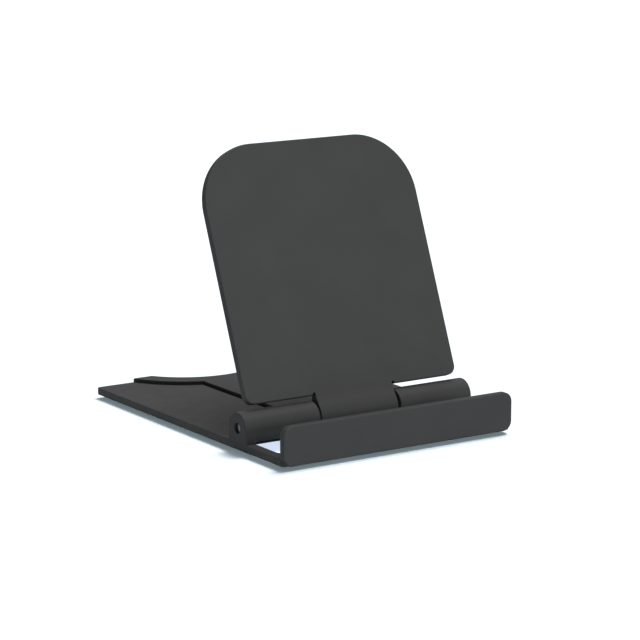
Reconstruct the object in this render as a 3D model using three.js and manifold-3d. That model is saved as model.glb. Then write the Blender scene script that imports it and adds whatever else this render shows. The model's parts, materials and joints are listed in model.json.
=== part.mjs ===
// Folding phone stand: a flat base with a front lip and two hinge barrels, and a back panel
// that turns on a steel pin. Millimetres, +X right, +Y to the back, +Z up.
// The origin is on the desk, under the middle of the base's footprint.
import * as THREE from "three";
import { mergeVertices } from "three/addons/utils/BufferGeometryUtils.js";
import Module from "manifold-3d";

// Base plate
const BASE_WIDTH = 80;
const BASE_DEPTH = 108;
const PLATE_THICKNESS = 2.3;
const PLAN_CORNER_RADIUS = 1; // of the footprint's four corners, seen from above
const FOOT_STANDOFF = 1.2; // the rubber feet lift the plate by this much

// Front lip
const LIP_HEIGHT = 11.7; // above the plate's underside
const LIP_THICKNESS = 2.3;
const LIP_CORNER_RADIUS = 3; // of the lip's four corners, seen from the front

// Cable opening in the tray
const SIDE_RAIL = 3.4; // plate left between the opening and each side
const OPENING_FRONT = 7; // from the lip's front face
const OPENING_REAR = 26.9;
const OPENING_RADIUS = 2.5;

// Thumb notch in the rear edge, and the raised plate that follows it
const NOTCH_RADIUS = 24;
const NOTCH_DEPTH = 11;
const SPINE_BAND = 5.8; // width of the band round the notch
const SPINE_WIDTH = 20.6;
const SPINE_RAISE = 1.2; // above the base plate's top
const SPINE_POCKET = 0.6; // depth of its seat in the base plate
const SPINE_FRONT = 31.9; // from the lip's front face
const SEAT_GAP = 0.3; // between pieces that are bonded or seated

// Hinge
const HINGE_BACK = 24.8; // pin axis, from the lip's front face
const HINGE_HEIGHT = 6.4; // pin axis, above the plate's underside
const BARREL_RADIUS = 4.7;
const KNUCKLE_WIDTH = 27.2;
const KNUCKLE_RADIUS = 4.3;
const KNUCKLE_GAP = 0.7; // on each side, between the knuckle and a barrel
const KNUCKLE_CLEARANCE = 0.6; // between the knuckle and the plate round it
const PIN_RADIUS = 1.5;
const PIN_RECESS = 0.8; // the pin stops this far inside each end face
const PIN_CHAMFER = 0.3;
const PIN_BORE_RADIUS = 1.9;
const FIT_GAP = 0.3; // between the hinge's nested rings
const BUSH_WALL = 0.7;
const BUSH_LENGTH = 12;
const SLEEVE_WALL = 0.6;
const SLEEVE_LENGTH = 10;
const SLEEVE_SPLIT = 0.8; // width of the slot that lets a sleeve grip the pin
const WASHER_RADIUS = 3.6;
const THRUST_WASHER_THICKNESS = 0.6;
const SPRING_WASHER_THICKNESS = 0.4;
const SPRING_WASHER_WAVE = 0.15; // height of its waves above and below flat

// Back panel
const RECLINE = THREE.MathUtils.degToRad(22); // back from upright, as it stands in use
const PANEL_WIDTH = 74.2;
const PANEL_THICKNESS = 2.4;
const PANEL_BOTTOM = 5.8; // bottom edge, along the panel from the pin axis
const PANEL_TOP = 82; // top edge, along the panel from the pin axis
const PANEL_FACE = 3.3; // front face, ahead of the pin axis
const PANEL_TOP_RADIUS = 19;
const PANEL_BOTTOM_RADIUS = 2.8;
const KNUCKLE_BLEND = 4.6; // how far above the bottom edge the knuckle's slopes start

// Feet: rubber strips with round ends, lying across the base
const FOOT_SEAT = 0.9; // depth of a foot's pocket in the plate
const FOOT_LENGTH = 14;
const FRONT_FOOT_WIDTH = 1.8;
const REAR_FOOT_WIDTH = 7;
const FOOT_INSET_X = 11.5; // foot centres, from the sides
const FOOT_INSET_FRONT = 5.2; // foot centres, from the front edge
const FOOT_INSET_REAR = 8;

// Facets in a full turn
const BARREL_FACETS = 48;
const SMALL_FACETS = 32;
const CORNER_FACETS = 8; // in a quarter turn of an outline's corner

const FRONT = -BASE_DEPTH / 2;
const REAR = BASE_DEPTH / 2;
const SIDE = BASE_WIDTH / 2;
const UNDERSIDE = FOOT_STANDOFF;
const PLATE_TOP = UNDERSIDE + PLATE_THICKNESS;
const HINGE_Y = FRONT + HINGE_BACK;
const HINGE_Z = UNDERSIDE + HINGE_HEIGHT;
const BARREL_INNER_X = KNUCKLE_WIDTH / 2 + KNUCKLE_GAP;
const OVERCUT = 1; // cutters reach this far past the faces they cut
const JOIN = 0.05; // the plate reaches this far into the lip, so that the two join

const X_AXIS = new THREE.Vector3(1, 0, 0);
const Y_AXIS = new THREE.Vector3(0, 1, 0);
const Z_AXIS = new THREE.Vector3(0, 0, 1);

const wasm = await Module();
wasm.setup();

// Materials
const blackAbs = new THREE.MeshStandardMaterial({ color: 0x35363a, roughness: 0.62 });
const steel = new THREE.MeshStandardMaterial({ color: 0x656669, roughness: 0.45, metalness: 1 });
const springSteel = new THREE.MeshStandardMaterial({ color: 0x8d9096, roughness: 0.4, metalness: 1 });
const acetal = new THREE.MeshStandardMaterial({ color: 0x262728, roughness: 0.5 });
const rubber = new THREE.MeshStandardMaterial({ color: 0x1b1b1c, roughness: 0.9 });

// A closed geometry as a solid that can be joined and cut.
function solid(geometry) {
  const bare = geometry.index ? geometry : geometry.clone();
  bare.deleteAttribute("normal");
  bare.deleteAttribute("uv");
  const merged = mergeVertices(bare, 1e-4);
  return new wasm.Manifold(
    new wasm.Mesh({
      numProp: 3,
      vertProperties: merged.attributes.position.array,
      triVerts: new Uint32Array(merged.index.array),
    }),
  );
}

// A solid as a named mesh.
function piece(name, body, material) {
  const mesh = body.getMesh();
  const geometry = new THREE.BufferGeometry();
  geometry.setAttribute("position", new THREE.BufferAttribute(mesh.vertProperties, 3));
  geometry.setIndex(new THREE.BufferAttribute(mesh.triVerts, 1));
  geometry.computeVertexNormals();
  const made = new THREE.Mesh(geometry, material);
  made.name = name;
  return made;
}

// A shape extruded upwards from bottom to top, drawn in X and Y.
function slab(shape, bottom, top, curveSegments = CORNER_FACETS) {
  const geometry = new THREE.ExtrudeGeometry(shape, {
    depth: top - bottom,
    bevelEnabled: false,
    curveSegments,
  });
  return solid(geometry.translate(0, 0, bottom));
}

// A shape drawn in Y and Z, extruded along X from left to right.
function bar(shape, left, right, curveSegments = BARREL_FACETS / 2) {
  const geometry = new THREE.ExtrudeGeometry(shape, {
    depth: right - left,
    bevelEnabled: false,
    curveSegments,
  });
  geometry.applyMatrix4(new THREE.Matrix4().makeBasis(Y_AXIS, Z_AXIS, X_AXIS));
  return solid(geometry.translate(left, 0, 0));
}

// A shape drawn in X and Z, extruded along Y from front to back.
function wall(shape, front, back) {
  const geometry = new THREE.ExtrudeGeometry(shape, {
    depth: back - front,
    bevelEnabled: false,
    curveSegments: CORNER_FACETS,
  });
  geometry.applyMatrix4(
    new THREE.Matrix4().makeBasis(X_AXIS, Z_AXIS, Y_AXIS.clone().negate()),
  );
  return solid(geometry.translate(0, back, 0));
}

// A cylinder along X whose axis passes through (y, z).
function rod(radius, left, right, y = 0, z = 0, facets = SMALL_FACETS) {
  const geometry = new THREE.CylinderGeometry(radius, radius, right - left, facets);
  geometry.rotateZ(-Math.PI / 2);
  return solid(geometry.translate((left + right) / 2, y, z));
}

function box(left, right, front, back, bottom, top) {
  const geometry = new THREE.BoxGeometry(right - left, back - front, top - bottom);
  return solid(
    geometry.translate((left + right) / 2, (front + back) / 2, (bottom + top) / 2),
  );
}

// A rectangle from (left, low) to (right, high) with its own radius for the low and high corners.
function roundedRectangle(left, right, low, high, lowRadius, highRadius) {
  const shape = new THREE.Shape();
  shape.moveTo(left + lowRadius, low);
  shape.lineTo(right - lowRadius, low);
  shape.absarc(right - lowRadius, low + lowRadius, lowRadius, -Math.PI / 2, 0, false);
  shape.lineTo(right, high - highRadius);
  shape.absarc(right - highRadius, high - highRadius, highRadius, 0, Math.PI / 2, false);
  shape.lineTo(left + highRadius, high);
  shape.absarc(left + highRadius, high - highRadius, highRadius, Math.PI / 2, Math.PI, false);
  shape.lineTo(left, low + lowRadius);
  shape.absarc(left + lowRadius, low + lowRadius, lowRadius, Math.PI, 1.5 * Math.PI, false);
  return shape;
}

// The thumb notch is part of a circle whose centre lies behind the rear edge.
const NOTCH_CENTRE_Y = REAR - NOTCH_DEPTH + NOTCH_RADIUS;

function notchDisc(radius, bottom, top) {
  const disc = new THREE.Shape().absarc(0, NOTCH_CENTRE_Y, radius, 0, 2 * Math.PI, false);
  return slab(disc, bottom, top, 2 * BARREL_FACETS);
}

// The base's outline seen from above, as a tall block that trims the plate, lip and barrels.
function footprint(top) {
  const outline = roundedRectangle(
    -SIDE, SIDE, FRONT, REAR, PLAN_CORNER_RADIUS, PLAN_CORNER_RADIUS,
  );
  return slab(outline, UNDERSIDE, top);
}

// One hinge barrel on the right side: a round barrel on a rear web, with a solid ear at its end.
function rightBarrel() {
  const barrel = rod(BARREL_RADIUS, BARREL_INNER_X, SIDE, HINGE_Y, HINGE_Z, BARREL_FACETS);
  const web = box(
    BARREL_INNER_X, SIDE, FRONT + OPENING_REAR, HINGE_Y + BARREL_RADIUS, UNDERSIDE, HINGE_Z,
  );
  const ear = box(
    SIDE - SIDE_RAIL, SIDE, HINGE_Y - BARREL_RADIUS, HINGE_Y + BARREL_RADIUS, UNDERSIDE, HINGE_Z,
  );
  return barrel.add(web).add(ear);
}

// Depth of the counterbore that holds the two washers at a barrel's inner end.
const WASHER_SEAT =
  SPRING_WASHER_THICKNESS + 2 * SPRING_WASHER_WAVE + THRUST_WASHER_THICKNESS + 2 * FIT_GAP;
const BUSH_INNER_RADIUS = PIN_RADIUS + FIT_GAP;
const BUSH_OUTER_RADIUS = BUSH_INNER_RADIUS + BUSH_WALL;
const SLEEVE_INNER_RADIUS = PIN_RADIUS + FIT_GAP;
const SLEEVE_OUTER_RADIUS = SLEEVE_INNER_RADIUS + SLEEVE_WALL;

// Everything cut out of the right barrel: pin bore, bush seat and washer seat.
function rightBarrelBores() {
  const bushEnd = BARREL_INNER_X + WASHER_SEAT + BUSH_LENGTH + FIT_GAP;
  const pinBore = rod(PIN_BORE_RADIUS, BARREL_INNER_X - OVERCUT, SIDE + OVERCUT, HINGE_Y, HINGE_Z);
  const bushSeat = rod(
    BUSH_OUTER_RADIUS + FIT_GAP, BARREL_INNER_X - OVERCUT, bushEnd, HINGE_Y, HINGE_Z,
  );
  const washerSeat = rod(
    WASHER_RADIUS + FIT_GAP, BARREL_INNER_X - OVERCUT, BARREL_INNER_X + WASHER_SEAT, HINGE_Y, HINGE_Z,
  );
  return pinBore.add(bushSeat).add(washerSeat);
}

function mirrored(body) {
  return body.mirror([1, 0, 0]);
}

const FEET = [
  ["foot_front_left", -SIDE + FOOT_INSET_X, FRONT + FOOT_INSET_FRONT, FRONT_FOOT_WIDTH],
  ["foot_front_right", SIDE - FOOT_INSET_X, FRONT + FOOT_INSET_FRONT, FRONT_FOOT_WIDTH],
  ["foot_rear_left", -SIDE + FOOT_INSET_X, REAR - FOOT_INSET_REAR, REAR_FOOT_WIDTH],
  ["foot_rear_right", SIDE - FOOT_INSET_X, REAR - FOOT_INSET_REAR, REAR_FOOT_WIDTH],
];

// A strip with round ends, centred on (x, y). grow widens it all round.
function strip(x, y, width, grow, bottom, top) {
  const radius = width / 2 + grow;
  const reach = (FOOT_LENGTH - width) / 2; // from the strip's centre to its end arcs' centres
  const outline = new THREE.Shape();
  outline.absarc(x + reach, y, radius, -Math.PI / 2, Math.PI / 2, false);
  outline.absarc(x - reach, y, radius, Math.PI / 2, 1.5 * Math.PI, false);
  return slab(outline, bottom, top, 2 * CORNER_FACETS);
}

// The raised plate: a band round the thumb notch and a straight spine towards the hinge.
// grow widens its outline, for the seat that is cut for it.
function spineBody(bottom, top, grow) {
  const band = notchDisc(NOTCH_RADIUS + SPINE_BAND + grow, bottom, top);
  const half = SPINE_WIDTH / 2 + grow;
  const stem = box(-half, half, FRONT + SPINE_FRONT - grow, REAR, bottom, top);
  return band.add(stem);
}

function basePlate() {
  const topOfAll = UNDERSIDE + LIP_HEIGHT + BARREL_RADIUS;
  const lipBack = FRONT + LIP_THICKNESS;
  const plate = box(-SIDE, SIDE, lipBack - JOIN, REAR, UNDERSIDE, PLATE_TOP);
  const lip = wall(
    roundedRectangle(
      -SIDE, SIDE, UNDERSIDE, UNDERSIDE + LIP_HEIGHT, LIP_CORNER_RADIUS, LIP_CORNER_RADIUS,
    ),
    FRONT,
    lipBack,
  );
  const opening = slab(
    roundedRectangle(
      -SIDE + SIDE_RAIL, SIDE - SIDE_RAIL, FRONT + OPENING_FRONT, FRONT + OPENING_REAR,
      OPENING_RADIUS, OPENING_RADIUS,
    ),
    UNDERSIDE - OVERCUT,
    PLATE_TOP + OVERCUT,
  );
  const knuckleSlot = box(
    -BARREL_INNER_X, BARREL_INNER_X,
    HINGE_Y - BARREL_RADIUS - KNUCKLE_CLEARANCE, HINGE_Y + BARREL_RADIUS + KNUCKLE_CLEARANCE,
    UNDERSIDE - OVERCUT, PLATE_TOP + OVERCUT,
  );
  const rightBores = rightBarrelBores();
  let body = plate
    .subtract(opening)
    .subtract(knuckleSlot)
    .add(lip)
    .add(rightBarrel())
    .add(mirrored(rightBarrel()))
    .subtract(rightBores)
    .subtract(mirrored(rightBores))
    .subtract(spineBody(PLATE_TOP - SPINE_POCKET, PLATE_TOP + OVERCUT, SEAT_GAP))
    .subtract(notchDisc(NOTCH_RADIUS, UNDERSIDE - OVERCUT, PLATE_TOP + OVERCUT))
    .intersect(footprint(topOfAll));
  for (const [, x, y, width] of FEET) {
    body = body.subtract(
      strip(x, y, width, SEAT_GAP, UNDERSIDE - OVERCUT, UNDERSIDE + FOOT_SEAT),
    );
  }
  return piece("base_plate", body, blackAbs);
}

function spinePlate() {
  const bottom = PLATE_TOP - SPINE_POCKET + SEAT_GAP;
  const top = PLATE_TOP + SPINE_RAISE;
  const body = spineBody(bottom, top, 0)
    .subtract(notchDisc(NOTCH_RADIUS, bottom - OVERCUT, top + OVERCUT))
    .intersect(footprint(top));
  return piece("spine_plate", body, blackAbs);
}

// The angle at which a line from the point (reach, height) touches a circle round the origin.
// side is 1 for the touching point ahead of that line and -1 for the one behind it.
function tangentAngle(reach, height, radius, side) {
  const toPoint = Math.atan2(height, reach);
  return toPoint + side * Math.acos(radius / Math.hypot(reach, height));
}

// The panel stands upright here, with the pin axis at the origin and its face towards -Y.
function panelBody() {
  const front = -PANEL_FACE;
  const back = front + PANEL_THICKNESS;
  const plate = wall(
    roundedRectangle(
      -PANEL_WIDTH / 2, PANEL_WIDTH / 2, PANEL_BOTTOM, PANEL_TOP,
      PANEL_BOTTOM_RADIUS, PANEL_TOP_RADIUS,
    ),
    front,
    back,
  );
  const blendTop = PANEL_BOTTOM + KNUCKLE_BLEND;
  const frontTouch = tangentAngle(front, blendTop, KNUCKLE_RADIUS, 1);
  const backTouch = tangentAngle(back, blendTop, KNUCKLE_RADIUS, -1);
  const web = new THREE.Shape();
  web.moveTo(back, blendTop);
  web.lineTo(front, blendTop);
  web.absarc(0, 0, KNUCKLE_RADIUS, frontTouch, backTouch + 2 * Math.PI, false);
  web.lineTo(back, blendTop);
  const knuckle = bar(web, -KNUCKLE_WIDTH / 2, KNUCKLE_WIDTH / 2);
  const bore = rod(
    SLEEVE_OUTER_RADIUS + FIT_GAP, -KNUCKLE_WIDTH / 2 - OVERCUT, KNUCKLE_WIDTH / 2 + OVERCUT,
  );
  return plate.add(knuckle).subtract(bore);
}

// A split spring sleeve inside the knuckle: it turns with the panel and grips the pin.
function frictionSleeve(name, centreX) {
  const left = centreX - SLEEVE_LENGTH / 2;
  const right = centreX + SLEEVE_LENGTH / 2;
  const body = rod(SLEEVE_OUTER_RADIUS, left, right)
    .subtract(rod(SLEEVE_INNER_RADIUS, left - OVERCUT, right + OVERCUT))
    .subtract(
      box(
        left - OVERCUT, right + OVERCUT, -SLEEVE_SPLIT / 2, SLEEVE_SPLIT / 2,
        0, SLEEVE_OUTER_RADIUS + OVERCUT,
      ),
    );
  return piece(name, body, springSteel);
}

function hingePin() {
  const half = SIDE - PIN_RECESS;
  const profile = [
    new THREE.Vector2(0, -half),
    new THREE.Vector2(PIN_RADIUS - PIN_CHAMFER, -half),
    new THREE.Vector2(PIN_RADIUS, -half + PIN_CHAMFER),
    new THREE.Vector2(PIN_RADIUS, half - PIN_CHAMFER),
    new THREE.Vector2(PIN_RADIUS - PIN_CHAMFER, half),
    new THREE.Vector2(0, half),
  ];
  const geometry = new THREE.LatheGeometry(profile, SMALL_FACETS).rotateZ(-Math.PI / 2);
  return piece("hinge_pin", solid(geometry), steel);
}

// The plain bush that carries the pin in a barrel. side is -1 on the left and 1 on the right.
function barrelBush(name, side) {
  const inner = BARREL_INNER_X + WASHER_SEAT + FIT_GAP / 2;
  const outer = inner + BUSH_LENGTH;
  const body = rod(BUSH_OUTER_RADIUS, inner, outer).subtract(
    rod(BUSH_INNER_RADIUS, inner - OVERCUT, outer + OVERCUT),
  );
  return piece(name, side < 0 ? mirrored(body) : body, acetal);
}

// The flat washer that the knuckle's end rubs on.
function thrustWasher(name, side) {
  const inner = BARREL_INNER_X;
  const outer = inner + THRUST_WASHER_THICKNESS;
  const body = rod(WASHER_RADIUS, inner, outer).subtract(
    rod(PIN_RADIUS + FIT_GAP, inner - OVERCUT, outer + OVERCUT),
  );
  return piece(name, side < 0 ? mirrored(body) : body, acetal);
}

// The wave spring washer behind the thrust washer, which takes up the end play.
function springWasher(name, side) {
  const middle =
    BARREL_INNER_X + THRUST_WASHER_THICKNESS + FIT_GAP + SPRING_WASHER_WAVE +
    SPRING_WASHER_THICKNESS / 2;
  const profile = [
    new THREE.Vector2(PIN_RADIUS + FIT_GAP, -SPRING_WASHER_THICKNESS / 2),
    new THREE.Vector2(WASHER_RADIUS, -SPRING_WASHER_THICKNESS / 2),
    new THREE.Vector2(WASHER_RADIUS, SPRING_WASHER_THICKNESS / 2),
    new THREE.Vector2(PIN_RADIUS + FIT_GAP, SPRING_WASHER_THICKNESS / 2),
    new THREE.Vector2(PIN_RADIUS + FIT_GAP, -SPRING_WASHER_THICKNESS / 2),
  ];
  const geometry = new THREE.LatheGeometry(profile, BARREL_FACETS);
  const places = geometry.attributes.position;
  const waves = 3;
  for (let i = 0; i < places.count; i++) {
    const turn = Math.atan2(places.getZ(i), places.getX(i));
    places.setY(i, places.getY(i) + SPRING_WASHER_WAVE * Math.cos(waves * turn));
  }
  geometry.rotateZ(-Math.PI / 2);
  const body = solid(geometry.translate(middle, 0, 0));
  return piece(name, side < 0 ? mirrored(body) : body, springSteel);
}

function foot(name, x, y, width) {
  return piece(name, strip(x, y, width, 0, 0, UNDERSIDE + FOOT_SEAT - SEAT_GAP), rubber);
}

// Everything on the pin's axis is placed by this group.
const hinge = new THREE.Group();
hinge.position.set(0, HINGE_Y, HINGE_Z);
hinge.add(
  hingePin(),
  barrelBush("barrel_bush_left", -1),
  barrelBush("barrel_bush_right", 1),
  thrustWasher("thrust_washer_left", -1),
  thrustWasher("thrust_washer_right", 1),
  springWasher("spring_washer_left", -1),
  springWasher("spring_washer_right", 1),
);

// The panel and what turns with it, leaning back by the recline angle.
const leaf = new THREE.Group();
leaf.rotation.x = -RECLINE;
const SLEEVE_CENTRE = KNUCKLE_WIDTH / 2 - SLEEVE_LENGTH / 2 - KNUCKLE_CLEARANCE;
leaf.add(
  piece("back_panel", panelBody(), blackAbs),
  frictionSleeve("friction_sleeve_left", -SLEEVE_CENTRE),
  frictionSleeve("friction_sleeve_right", SLEEVE_CENTRE),
);
hinge.add(leaf);

const stand = new THREE.Group();
stand.add(basePlate(), spinePlate(), hinge);
for (const [name, x, y, width] of FEET) {
  stand.add(foot(name, x, y, width));
}

export default stand;
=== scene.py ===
import json
import math

import bmesh
import bpy
from mathutils import Matrix, Vector


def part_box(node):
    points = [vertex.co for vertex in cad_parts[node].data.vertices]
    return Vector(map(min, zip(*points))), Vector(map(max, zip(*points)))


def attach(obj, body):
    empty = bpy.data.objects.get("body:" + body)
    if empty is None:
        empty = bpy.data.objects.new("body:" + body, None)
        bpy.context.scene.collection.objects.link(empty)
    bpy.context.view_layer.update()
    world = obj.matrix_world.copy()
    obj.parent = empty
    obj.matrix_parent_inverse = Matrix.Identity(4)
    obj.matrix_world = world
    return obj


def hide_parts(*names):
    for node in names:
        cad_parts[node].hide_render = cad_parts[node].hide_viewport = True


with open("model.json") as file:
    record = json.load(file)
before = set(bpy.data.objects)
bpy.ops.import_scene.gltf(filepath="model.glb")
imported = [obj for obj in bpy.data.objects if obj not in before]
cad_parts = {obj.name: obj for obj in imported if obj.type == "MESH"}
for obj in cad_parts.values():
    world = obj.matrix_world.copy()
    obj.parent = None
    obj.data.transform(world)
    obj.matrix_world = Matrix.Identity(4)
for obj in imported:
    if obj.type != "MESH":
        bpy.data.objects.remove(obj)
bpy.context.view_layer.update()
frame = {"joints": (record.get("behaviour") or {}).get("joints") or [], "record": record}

MM = 0.001


# ---------------------------------------------------------------------------
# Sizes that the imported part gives
# ---------------------------------------------------------------------------

def in_mm(values):
    """A point of the frame, in millimetres."""
    return Vector(round(value / MM, 3) for value in values)


def node_box(node):
    """The lowest and highest corners of a CAD node, in millimetres."""
    return [in_mm(corner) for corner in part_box(node)]


MOUNTS = {mount["name"]: mount for mount in frame["record"]["mounts"]}
HINGE = in_mm(frame["joints"][0]["pos_m"])
BASE_LOW, BASE_HIGH = node_box("base_plate")
SPINE_LOW, SPINE_HIGH = node_box("spine_plate")
PANEL_HIGH = node_box("back_panel")[1]
PIN_LOW, PIN_HIGH = node_box("hinge_pin")
BUSH_LOW, BUSH_HIGH = node_box("barrel_bush_right")
FEET = ("foot_front_left", "foot_front_right", "foot_rear_left", "foot_rear_right")

SIDE = BASE_HIGH.x
FRONT = BASE_LOW.y
REAR = BASE_HIGH.y
UNDERSIDE = BASE_LOW.z
LIP_TOP = BASE_HIGH.z
PLATE_TOP = in_mm(MOUNTS["phone_ledge"]["pos_m"]).z
PANEL_NORMAL = Vector(MOUNTS["phone_back_rest"]["axis"])
RECLINE = math.atan2(PANEL_NORMAL.z, -PANEL_NORMAL.y)
PANEL_FACE = (in_mm(MOUNTS["phone_back_rest"]["pos_m"]) - HINGE).dot(PANEL_NORMAL)
PANEL_TOP = (PANEL_HIGH.z - HINGE.z - PANEL_FACE * math.sin(RECLINE)) / math.cos(RECLINE)
PANEL_SIDE = PANEL_HIGH.x

# ---------------------------------------------------------------------------
# Sizes of the details, in millimetres
# ---------------------------------------------------------------------------

# Base
PLAN_CORNER = 1.0
LIP_THICKNESS = 2.3
LIP_CORNER = 3.0
PLATE_SETBACK = 0.8  # from the lip's front face to the plate's front edge, inside the lip
SIDE_RAIL = 3.4  # width of the plate at each side of the cable opening
OPENING_FRONT = 7.0  # from the lip's front face to the opening's front and rear edges
OPENING_REAR = 26.9
OPENING_CORNER = 2.5
NOTCH_RADIUS = 24.0
NOTCH_DEPTH = 11.0
SPINE_BAND = 5.8  # width of the raised plate's band round the thumb notch
SPINE_HALF_WIDTH = 10.3
SPINE_FRONT = SPINE_LOW.y
SEAT_DEPTH = 0.6  # the raised plate is set into the base by this much, with a gap round it
SEAT_GAP = 0.3
NOTCH_CENTRE = REAR - NOTCH_DEPTH + NOTCH_RADIUS
MID_PLATE = (UNDERSIDE + PLATE_TOP) / 2

# Hinge
BARREL_RADIUS = 4.7
BARREL_INNER = 14.3  # from the middle to each barrel's inner end
KNUCKLE_HALF_WIDTH = 13.6
KNUCKLE_RADIUS = 4.3
KNUCKLE_CLEARANCE = 0.6  # the knuckle's slot in the base reaches this far past the barrels
PIN_RADIUS = 1.5
PIN_CHAMFER = 0.3
PIN_BORE = 1.56  # radius of the hole through each ear
PIN_BORE_RIM = 0.15  # how far the hole's rim is rounded
BUSH_OUTER_RADIUS = 2.5
SLEEVE_OUTER_RADIUS = 2.4
SLEEVE_SLOT = 0.8  # width of the slot along a sleeve
RUNNING_RADIUS = 1.8  # inside the bushes, washers and sleeves
WASHER_RADIUS = 3.6
SPRING_WAVE = 0.15  # height of the spring washers' waves above and below flat
SPRING_WAVES = 3  # in one turn
FIT_GAP = 0.3  # round a fitting in its seat, and round a foot in its pocket

# Panel
PANEL_THICKNESS = 2.4
PANEL_BOTTOM = 5.8  # up the panel from the pin's axis
PANEL_TOP_CORNER = 19.0
PANEL_BOTTOM_CORNER = 2.8
RELIEF_WIDTH = 0.8  # the relief notches in the bottom edge, each side of the knuckle
RELIEF_HEIGHT = 0.6
FRONT_BLEND_TURN = 178  # degrees round the knuckle to where the panel's front face runs into it
FRONT_BLEND_HANDLE = 2.4  # how far that curve keeps to the lines that it joins
BACK_BLEND_TURN = 50  # the same for the back face
BACK_BLEND_HANDLE = 1.8

# Marks that the mould's ejector pins leave, as (x, y) on the base's underside and (x, up the panel)
# on the panel's back, on the right half
EJECTOR_RADIUS = 1.6
EJECTOR_DEPTH = 0.12
BASE_EJECTORS = ((30, -14), (30, 14), (20, 34))
PANEL_EJECTORS = ((27, 14), (27, 44), (19, 70))

# Rounded edges
EDGE = 0.35
SOFT_EDGE = 0.45  # the lip's front, the ears' outer faces and the feet
END_EDGE = 1.0  # the lip's ends
FINE_EDGE = 0.12
EDGE_STEPS = 5
SHARP_ANGLE = math.radians(30)  # faces that meet at more than this are shaded as two

# Points in a quarter turn
QUARTER = 24
WIDE_QUARTER = 36  # the panel's top corners

REACH = 1.0  # cutters reach this far past the faces that they cut
MERGE = 0.0005  # points closer than this become one
HAIR = 0.01  # pieces that become one are set in this much, so that no two faces lie in one plane


# ---------------------------------------------------------------------------
# Outlines
# ---------------------------------------------------------------------------

def arc(centre_u, centre_v, radius, start, end, steps=QUARTER):
    """Points on an arc from start to end degrees, both ends included."""
    points = []
    for step in range(steps + 1):
        turn = math.radians(start + (end - start) * step / steps)
        points.append((centre_u + radius * math.cos(turn), centre_v + radius * math.sin(turn)))
    return points


def circle(centre_u, centre_v, radius):
    return arc(centre_u, centre_v, radius, 0, 360, 4 * QUARTER)[:-1]


def rounded_rectangle(left, right, low, high, radius):
    return (
        arc(left + radius, low + radius, radius, 180, 270)
        + arc(right - radius, low + radius, radius, 270, 360)
        + arc(right - radius, high - radius, radius, 0, 90)
        + arc(left + radius, high - radius, radius, 90, 180)
    )


def bezier(start, start_handle, end_handle, end):
    """Points on a cubic curve, without its first and last point."""
    points = []
    for step in range(1, QUARTER):
        t = step / QUARTER
        weights = ((1 - t) ** 3, 3 * t * (1 - t) ** 2, 3 * t * t * (1 - t), t ** 3)
        corners = (start, start_handle, end_handle, end)
        points.append(tuple(sum(w * c[i] for w, c in zip(weights, corners)) for i in (0, 1)))
    return points


def mirrored(outline):
    """The outline on the other side of u = 0, in the same direction of travel."""
    return [(-u, v) for u, v in reversed(outline)]


def inset(outline, amount, stretch):
    """The outline with each point moved inwards, square to its two edges. stretch scales the move
    along u and along v."""
    count = len(outline)
    area = sum(
        outline[i - 1][0] * outline[i][1] - outline[i][0] * outline[i - 1][1] for i in range(count)
    )
    side = 1 if area > 0 else -1
    moved = []
    for i, (u, v) in enumerate(outline):
        before = Vector((u - outline[i - 1][0], v - outline[i - 1][1])).normalized()
        after = Vector((outline[(i + 1) % count][0] - u, outline[(i + 1) % count][1] - v)).normalized()
        normal = Vector((-before.y - after.y, before.x + after.x)) * side
        reach = amount / (1 + before.dot(after))
        moved.append((u + normal.x * reach * stretch[0], v + normal.y * reach * stretch[1]))
    return moved


# ---------------------------------------------------------------------------
# Solids
# ---------------------------------------------------------------------------

PLACED = {
    "X": lambda u, v, level: (level, u, v),
    "Y": lambda u, v, level: (u, level, v),
    "Z": lambda u, v, level: (u, v, level),
}


def new_object(name, builder):
    mesh = bpy.data.meshes.new(name)
    builder.to_mesh(mesh)
    builder.free()
    made = bpy.data.objects.new(name, mesh)
    bpy.context.scene.collection.objects.link(made)
    return made


def skin(rings):
    """A closed solid over rings of points, capped at both ends."""
    builder = bmesh.new()
    layers = [[builder.verts.new(point) for point in ring] for ring in rings]
    builder.faces.new(layers[0])
    builder.faces.new(layers[-1])
    for lower, upper in zip(layers, layers[1:]):
        for i in range(len(lower)):
            builder.faces.new((lower[i - 1], lower[i], upper[i], upper[i - 1]))
    bmesh.ops.recalc_face_normals(builder, faces=builder.faces)
    return new_object("solid", builder)


def quarter_round(edge):
    """(depth, inset) steps of a rounded edge, from the end face to the full outline."""
    if not edge:
        return [(0.0, 0.0)]
    turns = [math.radians(90 * step / EDGE_STEPS) for step in range(EDGE_STEPS + 1)]
    return [(edge * (1 - math.cos(turn)), edge * (1 - math.sin(turn))) for turn in turns]


def stacked(outline, levels, axis, stretch=(1, 1)):
    """A solid through (level, inset) copies of an outline drawn across an axis."""
    rings = []
    for level, move in levels:
        points = inset(outline, move, stretch) if move else outline
        rings.append([PLACED[axis](u, v, level) for u, v in points])
    return skin(rings)


def solid(outline, low, high, axis, low_edge=EDGE, high_edge=EDGE, stretch=(1, 1)):
    """An outline drawn across an axis, as a solid with rounded edges round its two end faces."""
    levels = [(low + depth, move) for depth, move in quarter_round(low_edge)]
    levels += [(high - depth, move) for depth, move in reversed(quarter_round(high_edge))]
    return stacked(outline, levels, axis, stretch)


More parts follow.
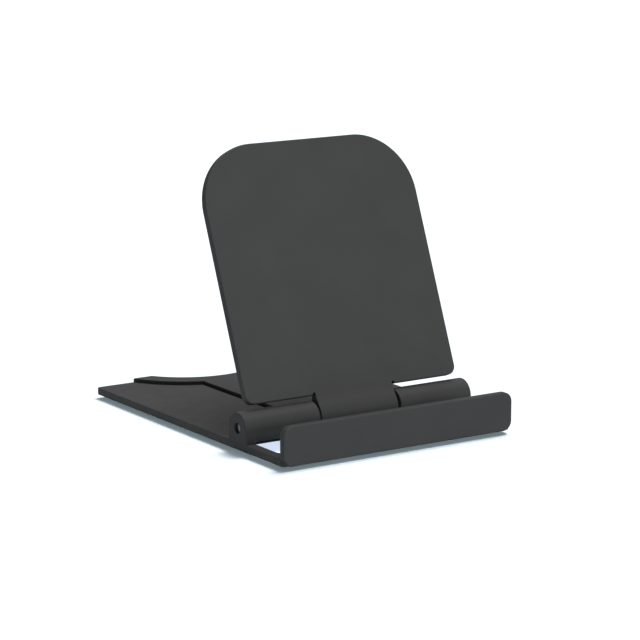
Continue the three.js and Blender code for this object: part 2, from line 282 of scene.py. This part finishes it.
def cutter(outline, low, high, axis, low_edge=EDGE, high_edge=EDGE):
    """What cuts a hole from low to high, with rounded rims. An edge of None is a blind end."""
    if low_edge is None:
        levels = [(low, 0.0)]
    else:
        levels = [(low - REACH, -low_edge)]
        levels += [(low + depth, -move) for depth, move in quarter_round(low_edge)]
    if high_edge is None:
        levels.append((high, 0.0))
    else:
        levels += [(high - depth, -move) for depth, move in reversed(quarter_round(high_edge))]
        levels.append((high + REACH, -high_edge))
    return stacked(outline, levels, axis)


def turned(profile, steps=4 * QUARTER, wave=0.0, slot=0.0):
    """(x, radius) points turned round the hinge's axis. A profile that starts on the axis is solid.
    wave is how far a ring bends along its axis. slot leaves so much of a turn open, in radians, on the
    side towards the panel's top."""
    builder = bmesh.new()
    solid_core = profile[0][1] == 0
    poles = []
    if solid_core:
        poles = [builder.verts.new((profile[i][0], HINGE.y, HINGE.z)) for i in (0, -1)]
        profile = profile[1:-1]
    first = math.pi / 2 - RECLINE + slot / 2
    rings = []
    for step in range(steps + (1 if slot else 0)):
        turn = first + (2 * math.pi - slot) * step / steps
        shift = wave * math.cos(SPRING_WAVES * turn)
        rings.append([
            builder.verts.new((
                x + shift,
                HINGE.y + radius * math.cos(turn),
                HINGE.z + radius * math.sin(turn),
            ))
            for x, radius in profile
        ])
    for step in range(1 if slot else 0, len(rings)):
        here, there = rings[step - 1], rings[step]
        for i in range(1 if solid_core else 0, len(profile)):
            builder.faces.new((here[i - 1], here[i], there[i], there[i - 1]))
        if solid_core:
            builder.faces.new((poles[0], here[0], there[0]))
            builder.faces.new((poles[1], here[-1], there[-1]))
    if slot:
        builder.faces.new(rings[0])
        builder.faces.new(rings[-1])
    bmesh.ops.recalc_face_normals(builder, faces=builder.faces)
    return new_object("turned", builder)


def apply_modifiers(piece):
    """Makes what a piece's modifiers show into its own mesh."""
    depsgraph = bpy.context.evaluated_depsgraph_get()
    mesh = bpy.data.meshes.new_from_object(piece.evaluated_get(depsgraph))
    piece.modifiers.clear()
    old = piece.data
    piece.data = mesh
    bpy.data.meshes.remove(old)


def combine(piece, others, operation):
    """Cuts others from piece, or joins them to it, and merges the doubled points that this leaves."""
    for other in others:
        modifier = piece.modifiers.new("combine", "BOOLEAN")
        modifier.operation = operation
        modifier.solver = "EXACT"
        modifier.object = other
        apply_modifiers(piece)
        bpy.data.objects.remove(other)
    builder = bmesh.new()
    builder.from_mesh(piece.data)
    bmesh.ops.remove_doubles(builder, verts=builder.verts, dist=MERGE)
    bmesh.ops.dissolve_degenerate(builder, edges=builder.edges, dist=MERGE)
    builder.to_mesh(piece.data)
    builder.free()
    return piece


def cut(piece, *others):
    return combine(piece, others, "DIFFERENCE")


def join(piece, *others):
    return combine(piece, others, "UNION")


def mirror_x(piece):
    """A mirror image of piece, left of the middle."""
    builder = bmesh.new()
    builder.from_mesh(piece.data)
    bmesh.ops.scale(builder, vec=(-1, 1, 1), verts=builder.verts)
    bmesh.ops.reverse_faces(builder, faces=builder.faces)
    return new_object(piece.name + "_mirrored", builder)


def both_sides(*right_pieces):
    """The pieces, and their mirror images."""
    return list(right_pieces) + [mirror_x(piece) for piece in right_pieces]


# ---------------------------------------------------------------------------
# Materials
# ---------------------------------------------------------------------------

NOISE_RANGE = (0.3, 0.7)  # where most of a noise's values lie


class Graph:
    """A material's nodes."""

    def __init__(self, name):
        self.material = bpy.data.materials.new(name)
        self.material.use_nodes = True
        self.tree = self.material.node_tree
        self.shader = next(n for n in self.tree.nodes if n.type == "BSDF_PRINCIPLED")
        self.coordinates = self.tree.nodes.new("ShaderNodeTexCoord").outputs["Object"]

    def put(self, socket, value):
        """Sets a socket to a value, or links it to another node's output."""
        if isinstance(value, bpy.types.NodeSocket):
            self.tree.links.new(value, socket)
        else:
            socket.default_value = value

    def node(self, kind, **inputs):
        """A node, and its inputs as values or as other nodes' outputs."""
        made = self.tree.nodes.new("ShaderNode" + kind)
        for key, value in inputs.items():
            self.put(made.inputs[key.replace("_", " ")], value)
        return made

    def noise(self, size, detail=2.0, stretch=(1, 1, 1)):
        """Noise whose lumps are about size millimetres across. A small stretch draws them out."""
        where = self.node("Mapping", Vector=self.coordinates, Scale=stretch).outputs["Vector"]
        made = self.node("TexNoise", Vector=where, Scale=1 / (size * MM), Detail=detail)
        return made.outputs["Fac"]

    def ramp(self, value, ends, between=NOISE_RANGE):
        """A grey or colour that runs from the first of ends to the second as value crosses between."""
        made = self.node("ValToRGB", Fac=value)
        for element, position, colour in zip(made.color_ramp.elements, between, ends):
            element.position = position
            element.color = (*colour, 1) if isinstance(colour, tuple) else (colour,) * 3 + (1,)
        return made.outputs["Color"]

    def mix(self, share, first, second):
        return self.node("MixRGB", Fac=share, Color1=first, Color2=second).outputs["Color"]

    def bump(self, height, depth):
        """The normal of a surface whose relief is depth millimetres."""
        return self.node("Bump", Height=height, Distance=depth * MM).outputs["Normal"]

    def finish(self, **inputs):
        """Sets the shader's inputs, and gives the material."""
        for key, value in inputs.items():
            self.put(self.shader.inputs[key.replace("_", " ")], value)
        return self.material


def tinted(level, warmth):
    """A grey with its red raised and its blue lowered by a share."""
    return (level * (1 + warmth), level, level * (1 - warmth))


# Colour of the convex edges: partly rubbed wear, partly a painted highlight along the edges
ABS_EDGE_WEAR_AND_HIGHLIGHT = (0.038, 0.038, 0.038, 1)
ABS_EDGE_WEAR_AND_HIGHLIGHT_RANGE = (0.53, 0.62)  # the pointiness where the rubbed wear and painted highlight on edges begin, and where they are full


def moulded_plastic():
    """Satin black ABS: a fine spark-eroded grain, faint flow clouds, and convex edges coloured a little
    lighter as rubbed wear and a painted highlight.
    """
    g = Graph("satin_black_abs")
    grain = g.noise(size=0.16, detail=3.0)
    tone = g.ramp(g.noise(size=14.0, detail=3.0), (0.0270, 0.0295))
    # Painted highlight and rubbed wear: lighter colour where the surface is pointy, at convex edges
    edges = g.ramp(g.node("NewGeometry").outputs["Pointiness"], (0.0, 1.0), ABS_EDGE_WEAR_AND_HIGHLIGHT_RANGE)
    return g.finish(
        Base_Color=g.mix(edges, tone, ABS_EDGE_WEAR_AND_HIGHLIGHT),
        Roughness=g.ramp(g.noise(size=5.0, detail=4.0), (0.52, 0.58), between=(0.35, 0.65)),
        Normal=g.bump(grain, depth=0.012),
        Specular_IOR_Level=0.10,
    )


def black_steel():
    """Black-oxide steel rod: faint drawing lines along it, and a mottled dark film."""
    g = Graph("black_oxide_steel")
    lines = g.noise(size=0.08, stretch=(0.03, 1, 1))
    return g.finish(
        Base_Color=g.ramp(g.noise(size=1.2, detail=4.0), (tinted(0.12, -0.01), tinted(0.19, -0.01))),
        Metallic=1.0,
        Roughness=g.ramp(lines, (0.34, 0.48)),
        Normal=g.bump(lines, depth=0.004),
    )


TEMPER_BLUE = (0.30, 0.31, 0.36)
TEMPER_STRAW = (0.42, 0.40, 0.36)


def spring_steel():
    """Oiled spring steel strip, faintly straw and blue from its tempering."""
    g = Graph("spring_steel")
    heat = g.noise(size=1.6, detail=1.0)
    lines = g.noise(size=0.1, stretch=(1, 0.2, 1))
    return g.finish(
        Base_Color=g.ramp(heat, (TEMPER_BLUE, TEMPER_STRAW), between=(0.35, 0.65)),
        Metallic=1.0,
        Roughness=g.ramp(lines, (0.28, 0.42)),
        Normal=g.bump(lines, depth=0.004),
    )


def acetal():
    """Black acetal: waxy, faintly clouded, with fine turning lines round its axis."""
    g = Graph("black_acetal")
    return g.finish(
        Base_Color=g.ramp(g.noise(size=1.5, detail=3.0), (0.016, 0.024)),
        Roughness=g.ramp(g.noise(size=0.8), (0.38, 0.50)),
        Normal=g.bump(g.noise(size=0.05, detail=1.0, stretch=(1, 0.1, 0.1)), depth=0.003),
        Specular_IOR_Level=0.3,
    )


def rubber():
    """Matte black rubber with a fine open texture and a little dust."""
    g = Graph("matte_rubber")
    dust = g.noise(size=0.6, detail=5.0)
    return g.finish(
        Base_Color=g.ramp(dust, (0.012, tinted(0.030, 0.04)), between=(0.45, 0.75)),
        Roughness=g.ramp(g.noise(size=0.9), (0.78, 0.92)),
        Normal=g.bump(g.noise(size=0.22, detail=4.0), depth=0.02),
        Specular_IOR_Level=0.3,
    )


# ---------------------------------------------------------------------------
# Pieces
# ---------------------------------------------------------------------------

def finish_piece(piece, name, body, slot, material, *nodes):
    """Shades the piece, takes it to metres, parents it to its body's empty, and hides the CAD nodes that
    it stands for.
    """
    for polygon in piece.data.polygons:
        polygon.use_smooth = True
    piece.data.set_sharp_from_angle(angle=SHARP_ANGLE)
    modifier = piece.modifiers.new("even_shading", "WEIGHTED_NORMAL")
    modifier.keep_sharp = True
    apply_modifiers(piece)
    piece.data.transform(Matrix.Scale(MM, 4))
    piece.data.materials.clear()
    piece.data.materials.append(material)
    piece.name = name
    piece.data.name = name
    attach(piece, body)
    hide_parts(*nodes)


def notch_arc(radius, edge):
    """The arc of the thumb notch's circle that lies ahead of y = edge, from right to left."""
    drop = math.degrees(math.asin((NOTCH_CENTRE - edge) / radius))
    return arc(0, NOTCH_CENTRE, radius, -drop, drop - 180, 3 * QUARTER)


def footprint():
    """The plate's outline from above: small corners, and the thumb notch in the rear edge."""
    front = FRONT + PLATE_SETBACK
    front_corner = LIP_THICKNESS - PLATE_SETBACK
    right = (
        arc(SIDE - front_corner, front + front_corner, front_corner, 270, 360)
        + arc(SIDE - PLAN_CORNER, REAR - PLAN_CORNER, PLAN_CORNER, 0, 90)
    )
    return right + notch_arc(NOTCH_RADIUS, REAR) + mirrored(right)


def plate():
    """The flat plate, with the cable opening and a slot that the knuckle turns in."""
    half_opening = SIDE - SIDE_RAIL
    opening = rounded_rectangle(
        -half_opening, half_opening, FRONT + OPENING_FRONT, FRONT + OPENING_REAR, OPENING_CORNER,
    )
    half_depth = BARREL_RADIUS + KNUCKLE_CLEARANCE
    slot = rounded_rectangle(
        -BARREL_INNER, BARREL_INNER, HINGE.y - half_depth, HINGE.y + half_depth, EDGE,
    )
    return cut(
        solid(footprint(), UNDERSIDE, PLATE_TOP, "Z"),
        cutter(opening, UNDERSIDE, PLATE_TOP, "Z"),
        cutter(slot, UNDERSIDE, PLATE_TOP, "Z"),
    )


def lip():
    """The front wall. Its ends are rounded more than its top."""
    outline = rounded_rectangle(-SIDE + HAIR, SIDE - HAIR, UNDERSIDE + HAIR, LIP_TOP, LIP_CORNER)
    stretch = (END_EDGE / SOFT_EDGE, 1)
    return solid(outline, FRONT, FRONT + LIP_THICKNESS, "Y", SOFT_EDGE, EDGE, stretch)


def barrel():
    """The right hinge barrel, on a web behind the opening."""
    y, z, r = HINGE.y, HINGE.z, BARREL_RADIUS
    web_front = FRONT + OPENING_REAR + HAIR
    web_turn = 360 - math.degrees(math.acos((web_front - y) / r))
    outline = (
        [(y + r, MID_PLATE)]
        + arc(y, z, r, 0, web_turn, 4 * QUARTER)
        + [(web_front, MID_PLATE)]
    )
    return solid(outline, BARREL_INNER, SIDE - SIDE_RAIL / 2, "X")


def ear():
    """The solid block at the right barrel's outer end, with a round top."""
    y, z, r = HINGE.y, HINGE.z, BARREL_RADIUS + HAIR
    outline = [(y + r, MID_PLATE)] + arc(y, z, r, 0, 180, 2 * QUARTER) + [(y - r, MID_PLATE)]
    return solid(outline, SIDE - SIDE_RAIL + HAIR, SIDE - HAIR, "X", EDGE, SOFT_EDGE)


def barrel_bores():
    """The washers' seat, the bush's seat and the pin's bore, cut from the right barrel."""
    seats = (  # radius, and how far out from the middle it reaches
        (WASHER_RADIUS + FIT_GAP, BUSH_LOW.x - FIT_GAP / 2),
        (BUSH_OUTER_RADIUS + FIT_GAP, BUSH_HIGH.x + FIT_GAP),
        (PIN_BORE, SIDE),
    )
    mouth = [(BARREL_INNER + depth, seats[0][0] + move) for depth, move in quarter_round(FINE_EDGE)]
    profile = [(BARREL_INNER - REACH, 0.0), (BARREL_INNER - REACH, mouth[0][1])] + mouth
    for (radius, end), (next_radius, _) in zip(seats, seats[1:]):
        profile += [(end, radius), (end, next_radius)]
    rim = [(SIDE - depth, PIN_BORE + move) for depth, move in quarter_round(PIN_BORE_RIM)]
    profile += list(reversed(rim)) + [(SIDE + REACH, rim[0][1]), (SIDE + REACH, 0.0)]
    return turned(profile)


def strip(low, high, grow=0.0):
    """A foot's outline: a strip with round ends that fills the box from low to high, grown by grow."""
    radius = (high.y - low.y) / 2
    middle = (high.y + low.y) / 2
    return (
        arc(high.x - radius, middle, radius + grow, -90, 90)
        + arc(low.x + radius, middle, radius + grow, 90, 270)
    )


def spine_outline(grow=0.0):
    """The raised plate: a band round the notch, and a straight spine forward to the hinge.
    grow widens it on every side but along the notch, where it runs out past the notch's edge."""
    band = NOTCH_RADIUS + SPINE_BAND + grow
    half = SPINE_HALF_WIDTH + grow
    rear = REAR + (REACH if grow else 0)
    inner = NOTCH_RADIUS - (REACH if grow else 0)
    spine_turn = math.degrees(math.acos(half / band))
    rear_turn = math.degrees(math.asin((NOTCH_CENTRE - rear) / band))
    right = arc(0, NOTCH_CENTRE, band, -rear_turn, -spine_turn) + [(half, SPINE_FRONT - grow)]
    return right + mirrored(right) + list(reversed(notch_arc(inner, rear)))


def base_moulding():
    """The plate, lip, barrels and ears in one, with every seat, pocket and bore cut from them."""
    body = join(plate(), lip(), *both_sides(barrel(), ear()))
    seat = cutter(spine_outline(SEAT_GAP), PLATE_TOP - SEAT_DEPTH, PLATE_TOP, "Z", None, FINE_EDGE)
    pockets = []
    for foot in FEET:
        low, high = node_box(foot)
        pocket = strip(low, high, FIT_GAP)
        pockets.append(cutter(pocket, UNDERSIDE, high.z + FIT_GAP, "Z", FINE_EDGE, None))
    marks = [
        cutter(circle(x, y, EJECTOR_RADIUS), UNDERSIDE, UNDERSIDE + EJECTOR_DEPTH, "Z", 0, None)
        for x, y in BASE_EJECTORS
    ]
    return cut(body, *both_sides(barrel_bores(), *marks), seat, *pockets)


def spine_moulding():
    """The raised plate, down to the floor of its seat."""
    return solid(spine_outline(), PLATE_TOP - SEAT_DEPTH, SPINE_HIGH.z, "Z", 0, EDGE)


def panel_outline():
    """The panel from the front, with the pin's axis at v = 0."""
    relief_radius = RELIEF_WIDTH / 2
    relief_top = PANEL_BOTTOM + RELIEF_HEIGHT - relief_radius
    corner, top = PANEL_BOTTOM_CORNER, PANEL_TOP_CORNER
    right = (
        [(KNUCKLE_HALF_WIDTH, PANEL_BOTTOM)]
        + list(reversed(arc(KNUCKLE_HALF_WIDTH + relief_radius, relief_top, relief_radius, 0, 180)))
        + [(KNUCKLE_HALF_WIDTH + RELIEF_WIDTH, PANEL_BOTTOM)]
        + arc(PANEL_SIDE - corner, PANEL_BOTTOM + corner, corner, 270, 360)
        + arc(PANEL_SIDE - top, PANEL_TOP - top, top, 0, 90, WIDE_QUARTER)
    )
    return right + mirrored(right)


def face_blend(face, start, turn, handle, way):
    """The curve from a face of the panel down to the knuckle's barrel, met at turn degrees. way is 1
    where the curve leaves the barrel with the turn, and -1 where it leaves against it."""
    out = Vector((math.cos(math.radians(turn)), math.sin(math.radians(turn))))
    touch = out * KNUCKLE_RADIUS
    along = Vector((-out.y, out.x)) * way
    return bezier((face, start), (face, start - handle), touch + along * handle, touch)


def knuckle_outline(front, back):
    """The knuckle from its right end: the two faces of the panel run down into a barrel."""
    top = PANEL_BOTTOM + 2 * RELIEF_HEIGHT
    start = PANEL_BOTTOM + RELIEF_HEIGHT - RELIEF_WIDTH / 2
    front_blend = face_blend(front, start, FRONT_BLEND_TURN, FRONT_BLEND_HANDLE, -1)
    back_blend = face_blend(back, start, BACK_BLEND_TURN, BACK_BLEND_HANDLE, 1)
    barrel_arc = arc(0, 0, KNUCKLE_RADIUS, FRONT_BLEND_TURN, 360 + BACK_BLEND_TURN, 4 * QUARTER)
    return (
        [(back, top), (front, top), (front, start)]
        + front_blend
        + barrel_arc
        + list(reversed(back_blend))
        + [(back, start)]
    )


def panel_moulding():
    """The back panel, made upright with the pin's axis at the origin, then leaned back."""
    front, back = -PANEL_FACE, PANEL_THICKNESS - PANEL_FACE
    end = KNUCKLE_HALF_WIDTH
    slab = solid(panel_outline(), front, back, "Y")
    knuckle = solid(knuckle_outline(front + HAIR, back - HAIR), -end, end, "X")
    bore = cutter(circle(0, 0, SLEEVE_OUTER_RADIUS + FIT_GAP), -end, end, "X", FINE_EDGE, FINE_EDGE)
    marks = [
        cutter(circle(x, up, EJECTOR_RADIUS), back - EJECTOR_DEPTH, back, "Y", None, 0)
        for x, up in PANEL_EJECTORS
    ]
    body = cut(join(slab, knuckle), bore, *both_sides(*marks))
    body.data.transform(Matrix.Translation(HINGE) @ Matrix.Rotation(-RECLINE, 4, "X"))
    return body


def pin():
    """The steel pin: a rod with chamfered ends."""
    left, right = PIN_LOW.x, PIN_HIGH.x
    flat = PIN_RADIUS - PIN_CHAMFER
    return turned([
        (left, 0.0), (left, flat), (left + PIN_CHAMFER, PIN_RADIUS),
        (right - PIN_CHAMFER, PIN_RADIUS), (right, flat), (right, 0.0),
    ])


def ring(node, radius, edge, steps=4 * QUARTER, wave=0.0, slot=0.0):
    """A ring round the pin, as long as a CAD node and with rounded corners. steps, wave and slot are
    as for turned."""
    low, high = node_box(node)
    near, far = low.x + wave, high.x - wave
    corner = quarter_round(edge)
    back_corner = list(reversed(corner))
    profile = [(near + depth, radius - move) for depth, move in corner]
    profile += [(far - depth, radius - move) for depth, move in back_corner]
    profile += [(far - depth, RUNNING_RADIUS + move) for depth, move in corner]
    profile += [(near + depth, RUNNING_RADIUS + move) for depth, move in back_corner]
    return turned(profile, steps, wave, slot)


def hinge_fittings(side, plastic, spring):
    """The bush, washers and split friction sleeve on one side of the hinge."""
    bush, thrust = f"barrel_bush_{side}", f"thrust_washer_{side}"
    wave, sleeve = f"spring_washer_{side}", f"friction_sleeve_{side}"
    bush_ring = ring(bush, BUSH_OUTER_RADIUS, 2 * FINE_EDGE)
    flat_ring = ring(thrust, WASHER_RADIUS, FINE_EDGE)
    wavy_ring = ring(wave, WASHER_RADIUS, FINE_EDGE / 2, 8 * QUARTER, SPRING_WAVE)
    slot = SLEEVE_SLOT / SLEEVE_OUTER_RADIUS
    open_ring = ring(sleeve, SLEEVE_OUTER_RADIUS, FINE_EDGE, slot=slot)
    finish_piece(bush_ring, f"bush_{side}", "base", "bush", plastic, bush)
    finish_piece(flat_ring, f"washer_{side}", "base", "bush", plastic, thrust)
    finish_piece(wavy_ring, f"wave_spring_{side}", "base", "spring", spring, wave)
    finish_piece(open_ring, f"sleeve_{side}", "panel", "spring", spring, sleeve)


def make_pieces():
    abs_plastic = moulded_plastic()
    steel = black_steel()
    spring = spring_steel()
    black_acetal = acetal()
    black_rubber = rubber()
    finish_piece(base_moulding(), "base_moulding", "base", "moulding", abs_plastic, "base_plate")
    finish_piece(spine_moulding(), "spine_moulding", "base", "moulding", abs_plastic, "spine_plate")
    finish_piece(panel_moulding(), "panel_moulding", "panel", "moulding", abs_plastic, "back_panel")
    finish_piece(pin(), "pin_rod", "base", "pin", steel, "hinge_pin")
    for foot in FEET:
        low, high = node_box(foot)
        pad = solid(strip(low, high), low.z, high.z, "Z", SOFT_EDGE, 0)
        finish_piece(pad, foot.replace("foot", "pad"), "base", "foot", black_rubber, foot)
    for side in ("left", "right"):
        hinge_fittings(side, black_acetal, spring)


# ---------------------------------------------------------------------------
# Studio
# ---------------------------------------------------------------------------

# Places and lengths here are in metres
CAMERA_AZIMUTH = math.radians(-33.474)
CAMERA_ELEVATION = math.radians(11.717)
CAMERA_DISTANCE = 0.94879
CAMERA_AIM = Vector((0.081054, 0.110826, 0.0012))
CAMERA_LENS = 150.877  # in millimetres, as the sensor's width is
CAMERA_SENSOR = 36.0
CAMERA_REACH = 100

FLOOR_SIZE = 40.0
FLOOR_LUMPS = 300.0  # millimetres across
FLOOR_TONES = ((0.75, 0.81, 0.84), (0.77, 0.83, 0.86))

# Lamps that light the stand: name, direction that the light comes from, strength, spread in degrees
OBJECT_LIGHTS = (
    ("top", (0.10, -0.12, 0.98), 3.9, 40),
    ("front", (0.15, -0.97, 0.18), 3.1, 50),
    ("rim", (0.25, 0.60, 0.76), 0.9, 40),
)

# Lamps that light the floor
ABOVE = (0, 0, 1)
OVERHEAD_DIRECTION = (0.35, 0.04, 0.93)
OVERHEAD_STRENGTH = 3.75
OVERHEAD_SPREAD = math.radians(32)
GLOW_COLOUR = (0.78, 0.92, 1.0)
GLOW_STRENGTH = 0.7
PATCH_PLACE = (-0.026, -0.0295, 0.5)
PATCH_POWER = 8.2
PATCH_CONE = math.radians(2.1)
PATCH_SOFT_SHARE = 0.4  # how much of the cone its soft edge takes up
PATCH_SOURCE = 0.001
PATCH_COLOUR = (0.80, 0.82, 1.0)

# The dim room round them
FILL_COLOUR = (0.96, 0.98, 1.0)
FILL_STRENGTH = 0.15


def point_along(thing, direction):
    """Turns a lamp or camera to look along a direction."""
    thing.rotation_mode = "QUATERNION"
    thing.rotation_quaternion = direction.to_track_quat("-Z", "Y")


def make_camera():
    lens = bpy.data.cameras.new("camera")
    lens.sensor_width = CAMERA_SENSOR
    lens.lens = CAMERA_LENS
    lens.clip_end = CAMERA_REACH
    camera = bpy.data.objects.new("camera", lens)
    bpy.context.scene.collection.objects.link(camera)
    back = Vector((
        math.sin(CAMERA_AZIMUTH) * math.cos(CAMERA_ELEVATION),
        -math.cos(CAMERA_AZIMUTH) * math.cos(CAMERA_ELEVATION),
        math.sin(CAMERA_ELEVATION),
    ))
    camera.location = CAMERA_AIM + back * CAMERA_DISTANCE
    point_along(camera, -back)
    bpy.context.scene.camera = camera


def make_floor():
    builder = bmesh.new()
    bmesh.ops.create_grid(builder, x_segments=1, y_segments=1, size=FLOOR_SIZE / 2)
    floor = new_object("floor", builder)
    g = Graph("white_floor")
    tone = g.ramp(g.noise(FLOOR_LUMPS), FLOOR_TONES, between=(0.0, 1.0))
    floor.data.materials.append(g.finish(Base_Color=tone, Roughness=0.9, Specular_IOR_Level=0.0))
    return floor


def make_lamp(name, kind, direction, strength, floor, floor_only, colour=(1, 1, 1)):
    """A lamp from direction that lights either the floor only, or everything but the floor."""
    data = bpy.data.lights.new(name, kind)
    data.color = colour
    data.energy = strength
    lamp = bpy.data.objects.new(name, data)
    point_along(lamp, -Vector(direction))
    bpy.context.scene.collection.objects.link(lamp)
    lit = bpy.data.collections.new(name + "_floor")
    lit.objects.link(floor)
    lit.collection_objects[0].light_linking.link_state = "INCLUDE" if floor_only else "EXCLUDE"
    lamp.light_linking.receiver_collection = lit
    return lamp


def light_stand(floor):
    """Soft suns from above, in front and behind, which leave the floor alone."""
    for name, direction, strength, spread in OBJECT_LIGHTS:
        lamp = make_lamp(name, "SUN", direction, strength, floor, False)
        lamp.data.angle = math.radians(spread)


def light_floor(floor):
    """A broad sun that only the base shades, a faint blue one without shadows, and a small pale blue
    patch under the left end of the cable opening, none of which light the stand itself."""
    overhead = make_lamp("overhead", "SUN", OVERHEAD_DIRECTION, OVERHEAD_STRENGTH, floor, True)
    overhead.data.angle = OVERHEAD_SPREAD
    blockers = bpy.data.collections.new("overhead_blockers")
    blockers.objects.link(bpy.data.objects["base_moulding"])
    overhead.light_linking.blocker_collection = blockers
    glow = make_lamp("glow", "SUN", ABOVE, GLOW_STRENGTH, floor, True, GLOW_COLOUR)
    glow.data.use_shadow = False
    patch = make_lamp("patch", "SPOT", ABOVE, PATCH_POWER, floor, True, PATCH_COLOUR)
    patch.location = PATCH_PLACE
    patch.data.spot_size = PATCH_CONE
    patch.data.spot_blend = PATCH_SOFT_SHARE
    patch.data.shadow_soft_size = PATCH_SOURCE
    patch.data.use_shadow = False
    patch.data.cycles.max_bounces = 0


def make_room():
    """A world that lights the stand dimly, and looks pure white past the floor's end."""
    world = bpy.data.worlds.new("studio")
    world.use_nodes = True
    tree = world.node_tree
    fill = tree.nodes["Background"]
    fill.inputs["Color"].default_value = (*FILL_COLOUR, 1)
    fill.inputs["Strength"].default_value = FILL_STRENGTH
    backdrop = tree.nodes.new("ShaderNodeBackground")
    seen = tree.nodes.new("ShaderNodeLightPath").outputs["Is Camera Ray"]
    mix = tree.nodes.new("ShaderNodeMixShader")
    tree.links.new(seen, mix.inputs["Fac"])
    tree.links.new(fill.outputs["Background"], mix.inputs[1])
    tree.links.new(backdrop.outputs["Background"], mix.inputs[2])
    tree.links.new(mix.outputs["Shader"], tree.nodes["World Output"].inputs["Surface"])
    bpy.context.scene.world = world
    bpy.context.scene.view_settings.view_transform = "Standard"


make_camera()
make_pieces()
stage_floor = make_floor()
light_stand(stage_floor)
light_floor(stage_floor)
make_room()
